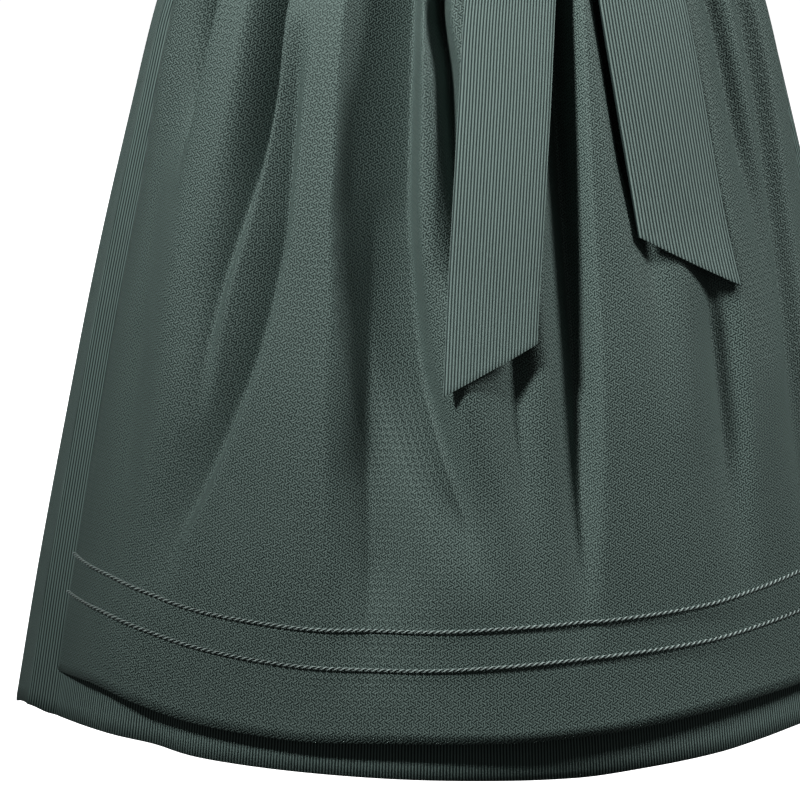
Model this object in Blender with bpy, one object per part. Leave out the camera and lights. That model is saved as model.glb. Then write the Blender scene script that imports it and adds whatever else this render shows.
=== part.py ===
"""A sleeveless dirndl dress, filled out as worn: bodice, skirt, and an apron whose sash ties in a bow.

Metres. The front faces -Y, +X is the viewer's right and +Z is up. Z is 0 under the shoulder straps.
Heights in the tables are above the skirt's hem. Turns are degrees round the body from the centre front,
positive towards +X, so the side seams are at -90 and 90 and the centre back is at 180.
"""

import math
from collections import namedtuple

import bmesh
import bpy
from mathutils import Matrix, Vector

# Main lengths
SHOULDER_TO_WAIST = 0.400
SKIRT_LENGTH = 0.690
HEM_DROP = SHOULDER_TO_WAIST + SKIRT_LENGTH
WAIST = SKIRT_LENGTH  # height of the waist seam above the hem

# Cloth
CLOTH = 0.0020  # wall of every cut piece
SEAM_GAP = 0.0003  # between pieces sewn edge to edge
LAYER_GAP = 0.0004  # between a piece and what lies on it
APRON_GAP = 0.0008  # the apron's least distance from the skirt's folds

# The body's rings are nearly ellipses, a little pointed at the sides
RING_POWER = 1.053
SKIRT_DEPTH_SHARE = 0.787  # half depth over half width
ROW_CROWDING = 1.6

SkirtRing = namedtuple("SkirtRing", "height half_width gather lift")
SKIRT_RINGS = (
    # gather: depth of the skirt's own folds; lift: how far the apron stands out past them
    SkirtRing(0.000, 0.3330, 0.0000, 0.0135),
    SkirtRing(0.112, 0.3140, 0.0000, 0.0115),
    SkirtRing(0.227, 0.2917, 0.0004, 0.0105),
    SkirtRing(0.342, 0.2681, 0.0010, 0.0105),
    SkirtRing(0.455, 0.2413, 0.0018, 0.0110),
    SkirtRing(0.530, 0.2218, 0.0030, 0.0105),
    SkirtRing(0.600, 0.1980, 0.0055, 0.0080),
    SkirtRing(0.650, 0.1755, 0.0055, 0.0045),
    SkirtRing(0.675, 0.1555, 0.0030, 0.0020),
    SkirtRing(0.690, 0.1330, 0.0010, 0.0000),
)
HemRow = namedtuple("HemRow", "turn height")
SKIRT_HEM = (
    # the hem rises towards the sides, where the skirt flares more, and is level behind
    HemRow(-90, 0.009),
    HemRow(-80, 0.0125),
    HemRow(-68, 0.0145),
    HemRow(-57, 0.0120),
    HemRow(-43, 0.0060),
    HemRow(-27, 0.0020),
    HemRow(-10, -0.0010),
    HemRow(8, -0.0025),
    HemRow(17, 0.0000),
    HemRow(29, 0.0040),
    HemRow(36, 0.0080),
    HemRow(44, 0.0120),
    HemRow(60, 0.0155),
    HemRow(75, 0.0140),
    HemRow(90, 0.0090),
    HemRow(130, 0.0030),
    HemRow(180, 0.0000),
    HemRow(230, 0.0030),
    HemRow(270, 0.0090),
)
GATHERS = 28  # folds of the skirt all round
BACK_FOLDS = 7  # broad soft folds that reach the hem at the back
BACK_FOLD_DEPTH = 0.007
BACK_FOLD_TOP = 0.63  # the height where they begin
BACK_EASE = 55.0  # turn over which they come in from each side seam

BodiceRing = namedtuple("BodiceRing", "height half_width front back front_seam back_seam")
BODICE_RINGS = (
    # front and back: half depths; the seams are turns from the centre front
    BodiceRing(WAIST + 0.000, 0.1330, 0.1047, 0.1047, 27.0, 160.0),
    BodiceRing(WAIST + 0.050, 0.1335, 0.1060, 0.1030, 28.5, 155.0),
    BodiceRing(WAIST + 0.100, 0.1420, 0.1130, 0.1030, 31.0, 148.0),
    BodiceRing(WAIST + 0.150, 0.1520, 0.1280, 0.1060, 35.0, 141.0),
    BodiceRing(WAIST + 0.200, 0.1600, 0.1400, 0.1090, 38.0, 135.0),
    BodiceRing(WAIST + 0.240, 0.1600, 0.1340, 0.1110, 40.5, 131.0),
    BodiceRing(WAIST + 0.290, 0.1550, 0.1200, 0.1130, 42.0, 128.0),
)

TopEdge = namedtuple("TopEdge", "across front side back")
TOP_EDGE = (
    # height of each panel's top edge, from its seam nearer the front to the one behind
    TopEdge(0.00, WAIST + 0.205, WAIST + 0.262, WAIST + 0.262),
    TopEdge(0.25, WAIST + 0.214, WAIST + 0.222, WAIST + 0.279),
    TopEdge(0.50, WAIST + 0.246, WAIST + 0.202, WAIST + 0.286),
    TopEdge(0.75, WAIST + 0.258, WAIST + 0.216, WAIST + 0.279),
    TopEdge(1.00, WAIST + 0.262, WAIST + 0.262, WAIST + 0.262),
)

# The shoulder straps run from the front panels' tops to the back panel's
STRAP_FRONT = (0.48, 1.00)  # across the front panel
STRAP_BACK = (0.02, 0.28)  # across the back panel
ShoulderRow = namedtuple("ShoulderRow", "forward up")
SHOULDER_ROWS = (
    ShoulderRow(0.101, -0.085),
    ShoulderRow(0.078, -0.040),
    ShoulderRow(0.042, -0.009),
    ShoulderRow(0.000, 0.002),
    ShoulderRow(-0.042, -0.009),
    ShoulderRow(-0.074, -0.045),
)
STRAP_GAP = 0.0008
SHOULDER_INNER = 0.054
SHOULDER_OUTER = 0.100
SHOULDER_SLOPE = 0.010  # the strap's outer edge lies this much lower

# The apron
APRON_LEFT, APRON_RIGHT = -72.5, 67.5
APRON_EDGE_TURN = 16.0  # the lift grows from nothing over this turn, in from each side edge
ApronLine = namedtuple("ApronLine", "turn hem lower_piping upper_piping")
APRON_LINES = (
    ApronLine(-72.5, 0.0485, 0.1072, 0.1356),
    ApronLine(-62.0, 0.0508, 0.1050, 0.1320),
    ApronLine(-52.0, 0.0425, 0.0975, 0.1243),
    ApronLine(-43.0, 0.0345, 0.0895, 0.1160),
    ApronLine(-35.0, 0.0305, 0.0847, 0.1118),
    ApronLine(-27.0, 0.0280, 0.0818, 0.1092),
    ApronLine(-16.0, 0.0290, 0.0813, 0.1089),
    ApronLine(-3.0, 0.0288, 0.0840, 0.1113),
    ApronLine(11.0, 0.0312, 0.0871, 0.1129),
    ApronLine(26.0, 0.0388, 0.0906, 0.1166),
    ApronLine(35.0, 0.0440, 0.0958, 0.1228),
    ApronLine(43.0, 0.0475, 0.1008, 0.1291),
    ApronLine(55.0, 0.0520, 0.1070, 0.1360),
    ApronLine(67.5, 0.0540, 0.1100, 0.1390),
)
PIPING_RADIUS = 0.0012
PIPING_GAP = 0.0006
APRON_COLUMNS = 56

ApronFold = namedtuple("ApronFold", "waist thigh knee top end share breadth")
APRON_FOLDS = (
    # the turn at the waist, 0.40 and 0.12 up; the heights between which it runs; how much of the lift
    # it takes away at its deepest, and its breadth in degrees
    ApronFold(-63.0, -67.5, -63.0, 0.69, 0.10, 0.60, 4.4),
    ApronFold(-54.0, -59.5, -60.0, 0.69, 0.40, 0.45, 3.0),
    ApronFold(-41.0, -45.5, -47.0, 0.69, 0.29, 0.85, 3.4),
    ApronFold(-33.0, -38.0, -50.0, 0.64, 0.13, 0.45, 3.0),
    ApronFold(-21.0, -24.4, -22.0, 0.69, 0.11, 0.90, 2.7),
    ApronFold(-20.0, -18.2, -7.0, 0.54, 0.16, 0.55, 2.7),
    ApronFold(-13.0, -10.3, -10.0, 0.69, 0.37, 0.75, 2.7),
    ApronFold(4.0, 3.0, 1.0, 0.37, 0.11, 0.45, 2.8),
    ApronFold(12.0, 9.8, 7.2, 0.69, 0.10, 0.85, 3.2),
    ApronFold(19.0, 20.8, 22.0, 0.69, 0.34, 0.85, 3.0),
    ApronFold(33.0, 34.0, 31.5, 0.69, 0.14, 0.55, 3.2),
    ApronFold(44.0, 44.2, 44.0, 0.69, 0.36, 0.55, 3.2),
    ApronFold(57.0, 52.0, 44.5, 0.69, 0.15, 0.60, 3.6),
)
FOLD_FADE = 0.10  # a fold comes and goes over this height

# The waistband lies on the bodice's foot, and the sash goes round over it
BAND_FOOT = WAIST
BAND_HEAD = WAIST + 0.045
BAND_OUT = 0.0034  # the waistband's outer face, out from the bodice
BAND_TURN = 74.0
SASH_OUT = BAND_OUT + LAYER_GAP + CLOTH
SASH_OUT_BACK = 2.2 * LAYER_GAP + CLOTH
SASH_EASE = 14.0  # turn over which the sash comes in from the waistband to the bodice

# The bow
KNOT_TURN = 23.0
KNOT_HEIGHT = WAIST + 0.0225
KNOT_BOXINESS = 3.0  # 2 is an ellipsoid
KNOT_SIZE = (0.036, 0.024, 0.041)  # width, depth, height
LOOP_LEAN = 0.35  # how far a loop leans out for each metre below the knot's middle
LOOP_EDGE = 0.008  # the lean comes in softly over this height
LOOP_OUT = SASH_OUT + 0.003
LOOP_RADIUS = 0.155  # of the waist that the loops bend round
LoopRow = namedtuple("LoopRow", "along reach stand half_width rise")
LOOP_ROWS = (
    LoopRow(0.00, 0.0195, 0.003, 0.0130, 0.000),
    LoopRow(0.14, 0.0420, 0.003, 0.0270, 0.003),
    LoopRow(0.30, 0.0800, 0.003, 0.0340, 0.007),
    LoopRow(0.44, 0.1120, 0.005, 0.0345, 0.008),
    LoopRow(0.50, 0.1200, 0.012, 0.0345, 0.008),
    LoopRow(0.56, 0.1120, 0.020, 0.0345, 0.008),
    LoopRow(0.70, 0.0800, 0.026, 0.0340, 0.007),
    LoopRow(0.86, 0.0420, 0.020, 0.0270, 0.003),
    LoopRow(1.00, 0.0195, 0.010, 0.0130, 0.000),
)

# The sash's two tails: where each edge is to the right of the centre front, in metres
TAIL_HEAD = KNOT_HEIGHT - KNOT_SIZE[2] / 2 - 0.0006
TAIL_STAND = 0.0025  # out from the apron's unfolded face
TAIL_RISE = 0.009  # further out at the head, to come from under the knot
TAIL_RISE_FOOT = 0.655  # the height where it begins to rise
TailRow = namedtuple("TailRow", "height left right")
LEFT_TAIL = (
    TailRow(0.278, -0.0552, 0.0100),
    TailRow(0.342, -0.0506, 0.0154),
    TailRow(0.412, -0.0447, 0.0218),
    TailRow(0.482, -0.0383, 0.0288),
    TailRow(0.552, -0.0312, 0.0357),
    TailRow(0.600, -0.0200, 0.0410),
    TailRow(0.645, 0.0080, 0.0470),
    TailRow(0.692, 0.0400, 0.0555),
)
LEFT_TAIL_ENDS = (0.278, 0.314)  # heights of the slanted cut at the left and right edges
RIGHT_TAIL = (
    TailRow(0.342, 0.0990, 0.1737),
    TailRow(0.402, 0.0905, 0.1630),
    TailRow(0.482, 0.0781, 0.1495),
    TailRow(0.546, 0.0685, 0.1379),
    TailRow(0.600, 0.0630, 0.1230),
    TailRow(0.645, 0.0595, 0.0980),
    TailRow(0.692, 0.0568, 0.0720),
)
RIGHT_TAIL_ENDS = (0.384, 0.342)

# The front fastening
BUTTON_BAND_HALF = 0.011
BUTTON_BAND_FOOT = BAND_HEAD + 0.001
BUTTON_BAND_HEAD = TOP_EDGE[0].front - 0.001
BUTTONS = 5
BUTTON_RADIUS = 0.0060
BUTTON_THICKNESS = 0.0028
BUTTON_EDGE = 0.0008
BUTTON_MARGIN = 0.012  # from the band's ends to the first and last button


def read_table(rows, column, at):
    """Reads a column at a value of the first column, on a curve through the rows that never overshoots."""
    keys = [row[0] for row in rows]
    values = [getattr(row, column) for row in rows]
    at = min(max(at, keys[0]), keys[-1])
    below = max(i for i in range(len(keys) - 1) if keys[i] <= at)
    steps = [(values[i + 1] - values[i]) / (keys[i + 1] - keys[i]) for i in range(len(keys) - 1)]

    def slope(i):
        if i == 0 or i == len(steps):
            return steps[min(i, len(steps) - 1)]
        before, after = steps[i - 1], steps[i]
        return 0.0 if before * after <= 0 else 2 * before * after / (before + after)

    span = keys[below + 1] - keys[below]
    t = (at - keys[below]) / span
    return (
        values[below] * (2 * t**3 - 3 * t**2 + 1)
        + values[below + 1] * (3 * t**2 - 2 * t**3)
        + slope(below) * span * (t**3 - 2 * t**2 + t)
        + slope(below + 1) * span * (t**3 - t**2)
    )


def mix(a, b, share):
    return a + (b - a) * share


def smooth_step(share):
    share = min(max(share, 0.0), 1.0)
    return share * share * (3 - 2 * share)


def rounded(value):
    """A sine or cosine, bent so that an ellipse gets the body's slightly pointed sides."""
    return math.copysign(abs(value) ** RING_POWER, value)


def ring_point(half_width, front, back, turn, out, height):
    angle = math.radians(turn)
    depth = front if math.cos(angle) >= 0 else back
    return Vector((
        (half_width + out) * rounded(math.sin(angle)),
        -(depth + out) * rounded(math.cos(angle)),
        height - HEM_DROP,
    ))


# The skirt


def skirt_half_width(height):
    return read_table(SKIRT_RINGS, "half_width", height)


def skirt_fold(turn, height):
    """How far the skirt's folds stand out of its plain form."""
    angle = math.radians(turn)
    uneven = 0.78 + 0.22 * math.sin(5 * angle + 1.0)
    wave = 0.5 + 0.5 * math.cos(GATHERS * angle + 0.9 * math.sin(3 * angle + 0.5))
    gathers = read_table(SKIRT_RINGS, "gather", height) * uneven * wave
    behind = smooth_step((turn - 90) / BACK_EASE) * smooth_step((270 - turn) / BACK_EASE)
    fullness = smooth_step((BACK_FOLD_TOP - height) / BACK_FOLD_TOP * 2)
    soft = 0.5 + 0.5 * math.cos(2 * BACK_FOLDS * (angle - math.pi) + 0.7 * math.sin(4 * angle))
    return gathers + BACK_FOLD_DEPTH * behind * fullness * soft


def skirt_point(turn, height, out=0.0):
    half_width = skirt_half_width(height)
    depth = half_width * SKIRT_DEPTH_SHARE
    return ring_point(half_width, depth, depth, turn, out, height)


def towards_waist(share):
    """Spaces the rows of a skirt, apron or tail closer together towards the waist."""
    return 1 - (1 - share) ** ROW_CROWDING


def seam_turn(half_width):
    """Half of a seam's gap, as a turn, with a little over for the rings' pointed sides."""
    return math.degrees(SEAM_GAP / 2 / half_width) * 1.3


def skirt_panel(first, last):
    """Half of the skirt, between two side seams."""
    def place(across, up, out):
        hem = read_table(SKIRT_HEM, "height", mix(first, last, across))
        height = mix(hem, WAIST - SEAM_GAP, towards_waist(up))
        part = seam_turn(skirt_half_width(height))
        turn = mix(first + part, last - part, across)
        return skirt_point(turn, height, skirt_fold(turn, height) + out)

    return place


# The apron


def fold_turn(fold, height):
    if height > 0.40:
        return mix(fold.thigh, fold.waist, (height - 0.40) / (WAIST - 0.40))
    return mix(fold.knee, fold.thigh, (height - 0.12) / (0.40 - 0.12))


def apron_fold(turn, height):
    """The share of the apron's lift that its folds leave, 1 on a ridge and near 0 in a deep valley."""
    left = 1.0
    for fold in APRON_FOLDS:
        comes = smooth_step((fold.top + FOLD_FADE / 2 - height) / FOLD_FADE)
        goes = smooth_step((height - fold.end) / FOLD_FADE)
        away = (turn - fold_turn(fold, height)) / fold.breadth
        left *= 1 - fold.share * comes * goes * math.exp(-away * away)
    return left


def apron_stand(turn, height, folded=True):
    """How far the apron's outer face lies out from the skirt's plain form."""
    on_skirt = read_table(SKIRT_RINGS, "gather", height) + APRON_GAP + CLOTH
    inside = min(turn - APRON_LEFT, APRON_RIGHT - turn)
    lift = read_table(SKIRT_RINGS, "lift", height) * smooth_step(inside / APRON_EDGE_TURN)
    return on_skirt + lift * (apron_fold(turn, height) if folded else 1.0)


def apron_point(turn, height, out=0.0):
    return skirt_point(turn, height, apron_stand(turn, height) + out)


def apron_place(across, up, out):
    """The apron's panel, between its side edges and from its hem to the waistband."""
    turn = mix(APRON_LEFT, APRON_RIGHT, across)
    hem = read_table(APRON_LINES, "hem", turn)
    height = mix(hem, BAND_FOOT - SEAM_GAP, towards_waist(up))
    return apron_point(turn, height, out)


# The bodice


def bodice_point(turn, height, out=0.0):
    return ring_point(
        read_table(BODICE_RINGS, "half_width", height),
        read_table(BODICE_RINGS, "front", height),
        read_table(BODICE_RINGS, "back", height),
        turn, out, height,
    )


def bodice_panel(panel, side=1):
    """One panel: the front runs from the centre front to the front seam, the side to the back seam."""
    def turns(height):
        front_seam = read_table(BODICE_RINGS, "front_seam", height)
        back_seam = read_table(BODICE_RINGS, "back_seam", height)
        part = seam_turn(BODICE_RINGS[0].front)
        if panel == "front":
            return part, front_seam - part
        if panel == "side":
            return front_seam + part, back_seam - part
        return back_seam + part, 360 - back_seam - part

    def place(across, up, out=0.0):
        share = across if side > 0 else 1 - across
        height = mix(WAIST, read_table(TOP_EDGE, panel, share), up)
        return bodice_point(side * mix(*turns(height), share), height, out)

    return place


def strap(side):
    """A strap, from the top edge of a front panel over the shoulder to the top edge of the back."""
    front, back = bodice_panel("front"), bodice_panel("back")

    def place(across, along):
        share = 1 - across if side > 0 else across
        gap = Vector((0, 0, STRAP_GAP))
        points = [front(mix(*STRAP_FRONT, share), 1.0) + gap]
        for row in SHOULDER_ROWS:
            sideways = mix(SHOULDER_INNER, SHOULDER_OUTER, share)
            points.append(Vector((sideways, -row.forward, row.up - SHOULDER_SLOPE * (share - 0.5))))
        points.append(back(mix(*STRAP_BACK[::-1], share), 1.0) + gap)
        point = along_curve(points, along)
        return Vector((side * point.x, point.y, point.z))

    return place


def along_curve(points, share):
    """A point on a Catmull-Rom curve through the points."""
    place = share * (len(points) - 1)
    i = min(int(place), len(points) - 2)
    t = place - i
    before = points[i - 1] if i else 2 * points[0] - points[1]
    after = points[i + 2] if i + 2 < len(points) else 2 * points[-1] - points[-2]
    start, end = points[i], points[i + 1]
    return 0.5 * (
        2 * start
        + (end - before) * t
        + (2 * before - 5 * start + 4 * end - after) * t**2
        + (3 * start - before - 3 * end + after) * t**3
    )


# Waistband, sash and bow


def waistband_place(across, up, out):
    height = mix(BAND_FOOT, BAND_HEAD, up)
    return bodice_point(mix(-BAND_TURN, BAND_TURN, across), height, BAND_OUT + out)


def sash_out(turn):
    """The sash lies over the waistband in front and on the bodice behind."""
    past_band = abs((turn + 180) % 360 - 180) - BAND_TURN
    return mix(SASH_OUT, SASH_OUT_BACK, smooth_step((past_band - 2) / SASH_EASE))


def sash_place(across, up, out):
    turn = 360 * across
    return bodice_point(turn, mix(BAND_FOOT, BAND_HEAD, up), sash_out(turn) + out)


def loop_place(side):
    """A loop runs out from the knot near the body, turns round and comes back further out."""
    def place(across, up):
        along = across if side < 0 else 1 - across
        reach = read_table(LOOP_ROWS, "reach", along)
        half = read_table(LOOP_ROWS, "half_width", along)
        height = KNOT_HEIGHT + read_table(LOOP_ROWS, "rise", along) + mix(-half, half, up)
        below = KNOT_HEIGHT - height
        lean = LOOP_LEAN * (below + math.hypot(below, LOOP_EDGE)) / 2
        out = LOOP_OUT + lean + read_table(LOOP_ROWS, "stand", along)
        turn = KNOT_TURN + side * math.degrees(reach / LOOP_RADIUS)
        return ring_at_waist(turn, height, out)

    return place


def ring_at_waist(turn, height, out):
    ring = BODICE_RINGS[0]
    return ring_point(ring.half_width, ring.front, ring.back, turn, out, height)


def tail_place(rows, ends):
    """A tail lies on the apron's unfolded face, between the edges that its table gives."""
    def place(across, up):
        height = mix(mix(*ends, across), TAIL_HEAD, towards_waist(up))
        sideways = mix(read_table(rows, "left", height), read_table(rows, "right", height), across)
        half_width = skirt_half_width(height)
        turn = 0.0
        for _ in range(6):
            out = apron_stand(turn, height, folded=False) + TAIL_STAND + CLOTH
            turn = math.degrees(math.asin(abs(sideways / (half_width + out)) ** (1 / RING_POWER)))
            turn = math.copysign(turn, sideways)
        rise = TAIL_RISE * smooth_step((height - TAIL_RISE_FOOT) / (TAIL_HEAD - TAIL_RISE_FOOT))
        return skirt_point(turn, height, out + rise)

    return place


# Making the solids


def material(name, colour, roughness):
    made = bpy.data.materials.new(name)
    made.use_nodes = True
    shader = made.node_tree.nodes["Principled BSDF"]
    shader.inputs["Base Color"].default_value = (*colour, 1)
    shader.inputs["Roughness"].default_value = roughness
    shader.inputs["Metallic"].default_value = 0.0
    made.diffuse_color = (*colour, 1)
    return made


def add_object(name, mesh, colour, roughness=0.85):
    made = bpy.data.objects.new(name, mesh)
    made.data.materials.append(material(name, colour, roughness))
    bpy.context.scene.collection.objects.link(made)
    return made


def flat_grid(columns, rows):
    form = bmesh.new()
    bmesh.ops.create_grid(form, x_segments=columns, y_segments=rows, size=0.5)
    bmesh.ops.translate(form, verts=form.verts, vec=(0.5, 0.5, 0))
    return form


def mesh_from(form, name):
    mesh = bpy.data.meshes.new(name)
    form.to_mesh(mesh)
    form.free()
    mesh.shade_smooth()
    return mesh


def cloth(name, place, columns, rows, colour, joined=False):
    """A wall of cloth: a flat slab, laid out by place(across, up, out), where out is 0 on its outer face."""
    form = flat_grid(columns, rows)
    inner = bmesh.ops.extrude_face_region(form, geom=form.faces[:], use_keep_orig=True)
    inner = [part for part in inner["geom"] if isinstance(part, bmesh.types.BMVert)]
    bmesh.ops.translate(form, verts=inner, vec=(0, 0, -CLOTH))
    bmesh.ops.recalc_face_normals(form, faces=form.faces)
    if joined:
        ends = [face for face in form.faces if abs(face.normal.x) > 0.5]
        bmesh.ops.delete(form, geom=ends, context="FACES")
    for vertex in form.verts:
        vertex.co = place(*vertex.co)
    if joined:
        bmesh.ops.remove_doubles(form, verts=form.verts, dist=1e-5)
    return add_object(name, mesh_from(form, name), colour)


def free_cloth(name, place, columns, rows, colour):
    """A wall of cloth that leaves the body's rings: place(across, up) gives its outer face."""
    form = flat_grid(columns, rows)
    for vertex in form.verts:
        vertex.co = place(vertex.co.x, vertex.co.y)
    made = add_object(name, mesh_from(form, name), colour)
    wall = made.modifiers.new("Wall", "SOLIDIFY")
    wall.thickness = CLOTH
    wall.offset = -1
    return made


def piping(name, column, colour):
    """A cord laid on the apron along one of its lines."""
    steps = APRON_COLUMNS
    curve = bpy.data.curves.new(name, "CURVE")
    curve.dimensions = "3D"
    curve.bevel_depth = PIPING_RADIUS
    curve.bevel_resolution = 0
    curve.use_fill_caps = True
    line = curve.splines.new("POLY")
    line.points.add(steps)
    for i, point in enumerate(line.points):
        turn = mix(APRON_LEFT, APRON_RIGHT, i / steps)
        height = read_table(APRON_LINES, column, turn)
        point.co = (*apron_point(turn, height, PIPING_RADIUS + PIPING_GAP), 1)
    return add_object(name, curve, colour, 0.7)


def knot(name, colour):
    form = bmesh.new()
    bmesh.ops.create_uvsphere(form, u_segments=14, v_segments=8, radius=0.5)
    out = SASH_OUT + 2 * LAYER_GAP + KNOT_SIZE[1] / 2
    centre = ring_at_waist(KNOT_TURN, KNOT_HEIGHT, out)
    inside = ring_at_waist(KNOT_TURN, KNOT_HEIGHT, 0)
    facing = math.atan2(centre.y - inside.y, centre.x - inside.x) + math.pi / 2
    for vertex in form.verts:
        round_share = sum(abs(part) ** KNOT_BOXINESS for part in vertex.co * 2) ** (1 / KNOT_BOXINESS)
        vertex.co = Vector(size * part / round_share for size, part in zip(KNOT_SIZE, vertex.co))
    bmesh.ops.transform(
        form, verts=form.verts, matrix=Matrix.Translation(centre) @ Matrix.Rotation(facing, 4, "Z")
    )
    return add_object(name, mesh_from(form, name), colour)


def button_band_place(across, up):
    sideways = mix(-BUTTON_BAND_HALF, BUTTON_BAND_HALF, across)
    height = mix(BUTTON_BAND_FOOT, BUTTON_BAND_HEAD, up)
    turn = math.degrees(math.asin(sideways / read_table(BODICE_RINGS, "half_width", height)))
    return bodice_point(turn, height, LAYER_GAP + CLOTH)


def button(name, height, colour):
    form = bmesh.new()
    bmesh.ops.create_cone(
        form, cap_ends=True, segments=16, radius1=BUTTON_RADIUS, radius2=BUTTON_RADIUS, depth=BUTTON_THICKNESS
    )
    rims = [edge for edge in form.edges if abs(edge.verts[0].co.z - edge.verts[1].co.z) < 1e-6]
    bmesh.ops.bevel(form, geom=rims, offset=BUTTON_EDGE, segments=1, affect="EDGES", profile=0.5)
    made = add_object(name, mesh_from(form, name), colour, 0.4)
    slope = bodice_point(0, height + BUTTON_RADIUS) - bodice_point(0, height - BUTTON_RADIUS)
    outward = Vector((1, 0, 0)).cross(slope).normalized()
    made.rotation_euler = outward.to_track_quat("Z", "X").to_euler()
    seat = bodice_point(0, height, LAYER_GAP + CLOTH)
    made.location = seat + outward * (LAYER_GAP + BUTTON_THICKNESS / 2)
    return made


STRIPE = (0.075, 0.110, 0.098)
JACQUARD = (0.062, 0.088, 0.078)
CORD = (0.180, 0.240, 0.215)
HORN = (0.100, 0.110, 0.100)


def main():
    for old in list(bpy.data.objects):
        bpy.data.objects.remove(old)

    cloth("skirt_front", skirt_panel(-90, 90), 54, 12, STRIPE)
    cloth("skirt_back", skirt_panel(90, 270), 54, 12, STRIPE)
    cloth("apron_panel", apron_place, APRON_COLUMNS, 13, JACQUARD)
    piping("apron_piping_lower", "lower_piping", CORD)
    piping("apron_piping_upper", "upper_piping", CORD)

    for side, word in ((-1, "left"), (1, "right")):
        cloth(f"bodice_front_{word}", bodice_panel("front", side), 6, 9, STRIPE)
        cloth(f"bodice_side_{word}", bodice_panel("side", side), 10, 8, STRIPE)
        free_cloth(f"strap_{word}", strap(side), 3, 14, STRIPE)
        free_cloth(f"bow_loop_{word}", loop_place(side), 20, 4, STRIPE)
    cloth("bodice_back", bodice_panel("back"), 12, 9, STRIPE)

    cloth("apron_waistband", waistband_place, 26, 2, JACQUARD)
    cloth("sash_wrap", sash_place, 54, 3, STRIPE, joined=True)
    free_cloth("sash_tail_left", tail_place(LEFT_TAIL, LEFT_TAIL_ENDS), 4, 10, STRIPE)
    free_cloth("sash_tail_right", tail_place(RIGHT_TAIL, RIGHT_TAIL_ENDS), 4, 10, STRIPE)
    knot("bow_knot", STRIPE)

    free_cloth("button_band", button_band_place, 2, 12, STRIPE)
    first = BUTTON_BAND_FOOT + BUTTON_MARGIN
    last = BUTTON_BAND_HEAD - BUTTON_MARGIN
    for i in range(BUTTONS):
        button(f"button_{i + 1}", mix(first, last, i / (BUTTONS - 1)), HORN)


main()
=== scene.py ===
import bisect
from math import asin, atan2, copysign, cos, degrees, exp, hypot, log1p, pi, radians, sin, sqrt

import bmesh
import bpy
from mathutils import Matrix, Vector, noise


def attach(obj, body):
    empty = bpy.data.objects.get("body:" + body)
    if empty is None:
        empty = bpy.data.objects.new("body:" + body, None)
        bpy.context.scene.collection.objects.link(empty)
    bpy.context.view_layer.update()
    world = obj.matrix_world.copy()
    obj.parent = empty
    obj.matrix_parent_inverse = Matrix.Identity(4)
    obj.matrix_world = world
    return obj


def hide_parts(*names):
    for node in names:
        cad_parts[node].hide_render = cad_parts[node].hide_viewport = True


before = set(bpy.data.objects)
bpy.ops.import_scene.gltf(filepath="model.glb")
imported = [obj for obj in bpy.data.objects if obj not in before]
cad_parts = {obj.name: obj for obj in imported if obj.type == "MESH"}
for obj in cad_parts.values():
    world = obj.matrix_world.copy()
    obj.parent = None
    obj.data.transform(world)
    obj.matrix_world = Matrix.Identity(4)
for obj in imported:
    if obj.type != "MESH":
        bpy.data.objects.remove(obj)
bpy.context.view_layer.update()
print("frame loaded:", len(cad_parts), "nodes")


# Small sums that every piece uses


def mix(a, b, share):
    return a + (b - a) * share


def smoothStep(share):
    share = min(max(share, 0.0), 1.0)
    return share * share * (3 - 2 * share)


def hump(away, breadth):
    return exp(-((away / breadth) ** 2))


def wander(x, y, seed):
    # soft unevenness from -1 to 1, the same on every run
    return noise.noise(Vector((x, y, seed)))


def smoothCurve(points):
    # reads between (key, value) points on a curve that never overshoots
    keys = [point[0] for point in points]
    values = [point[1] for point in points]
    last = len(points) - 1
    steps = [(values[i + 1] - values[i]) / (keys[i + 1] - keys[i]) for i in range(last)]
    slopes = [steps[0]]
    for before, after in zip(steps, steps[1:]):
        slopes.append(0.0 if before * after <= 0 else 2 * before * after / (before + after))
    slopes.append(steps[-1])

    def read(at):
        at = min(max(at, keys[0]), keys[-1])
        i = min(bisect.bisect_right(keys, at), last) - 1
        span = keys[i + 1] - keys[i]
        t = (at - keys[i]) / span
        return (
            values[i] * (2 * t**3 - 3 * t**2 + 1)
            + values[i + 1] * (3 * t**2 - 2 * t**3)
            + slopes[i] * span * (t**3 - 2 * t**2 + t)
            + slopes[i + 1] * span * (t**3 - t**2)
        )

    return read


def columnCurves(rows):
    # one curve for each column of a table whose first column is the key
    return [smoothCurve([(row[0], row[i]) for row in rows]) for i in range(1, len(rows[0]))]


# Camera, floor and light

view = {
    "turn": 10.0, "pitch": 10.7526, "distance": 4.5, "sideways": -0.0418, "height": -0.008, "lens": 273.7,
}
studio = {
    "floorHeight": -1.40, "floorSize": 60.0, "floorGlow": 1.0, "air": 0.06,
    "floorColours": ((0.93, 0.93, 0.93), (0.90, 0.90, 0.90)),
    # name, width, height, power, place, the point it faces and the spread of its beam in degrees
    "lamps": (
        ("keyLight", 0.6, 0.9, 10.0, (-3.05, -1.95, 2.30), (0.46, -0.25, -0.60), 28.0),
        ("fillLight", 0.9, 1.2, 43.0, (3.45, -1.20, 2.10), (0.0, -0.2, -0.65), 90.0),
        ("backLight", 3.0, 2.0, 120.0, (0.5, 4.2, 1.8), (0.0, 0.0, -0.6), 180.0),
    ),
}


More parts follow.
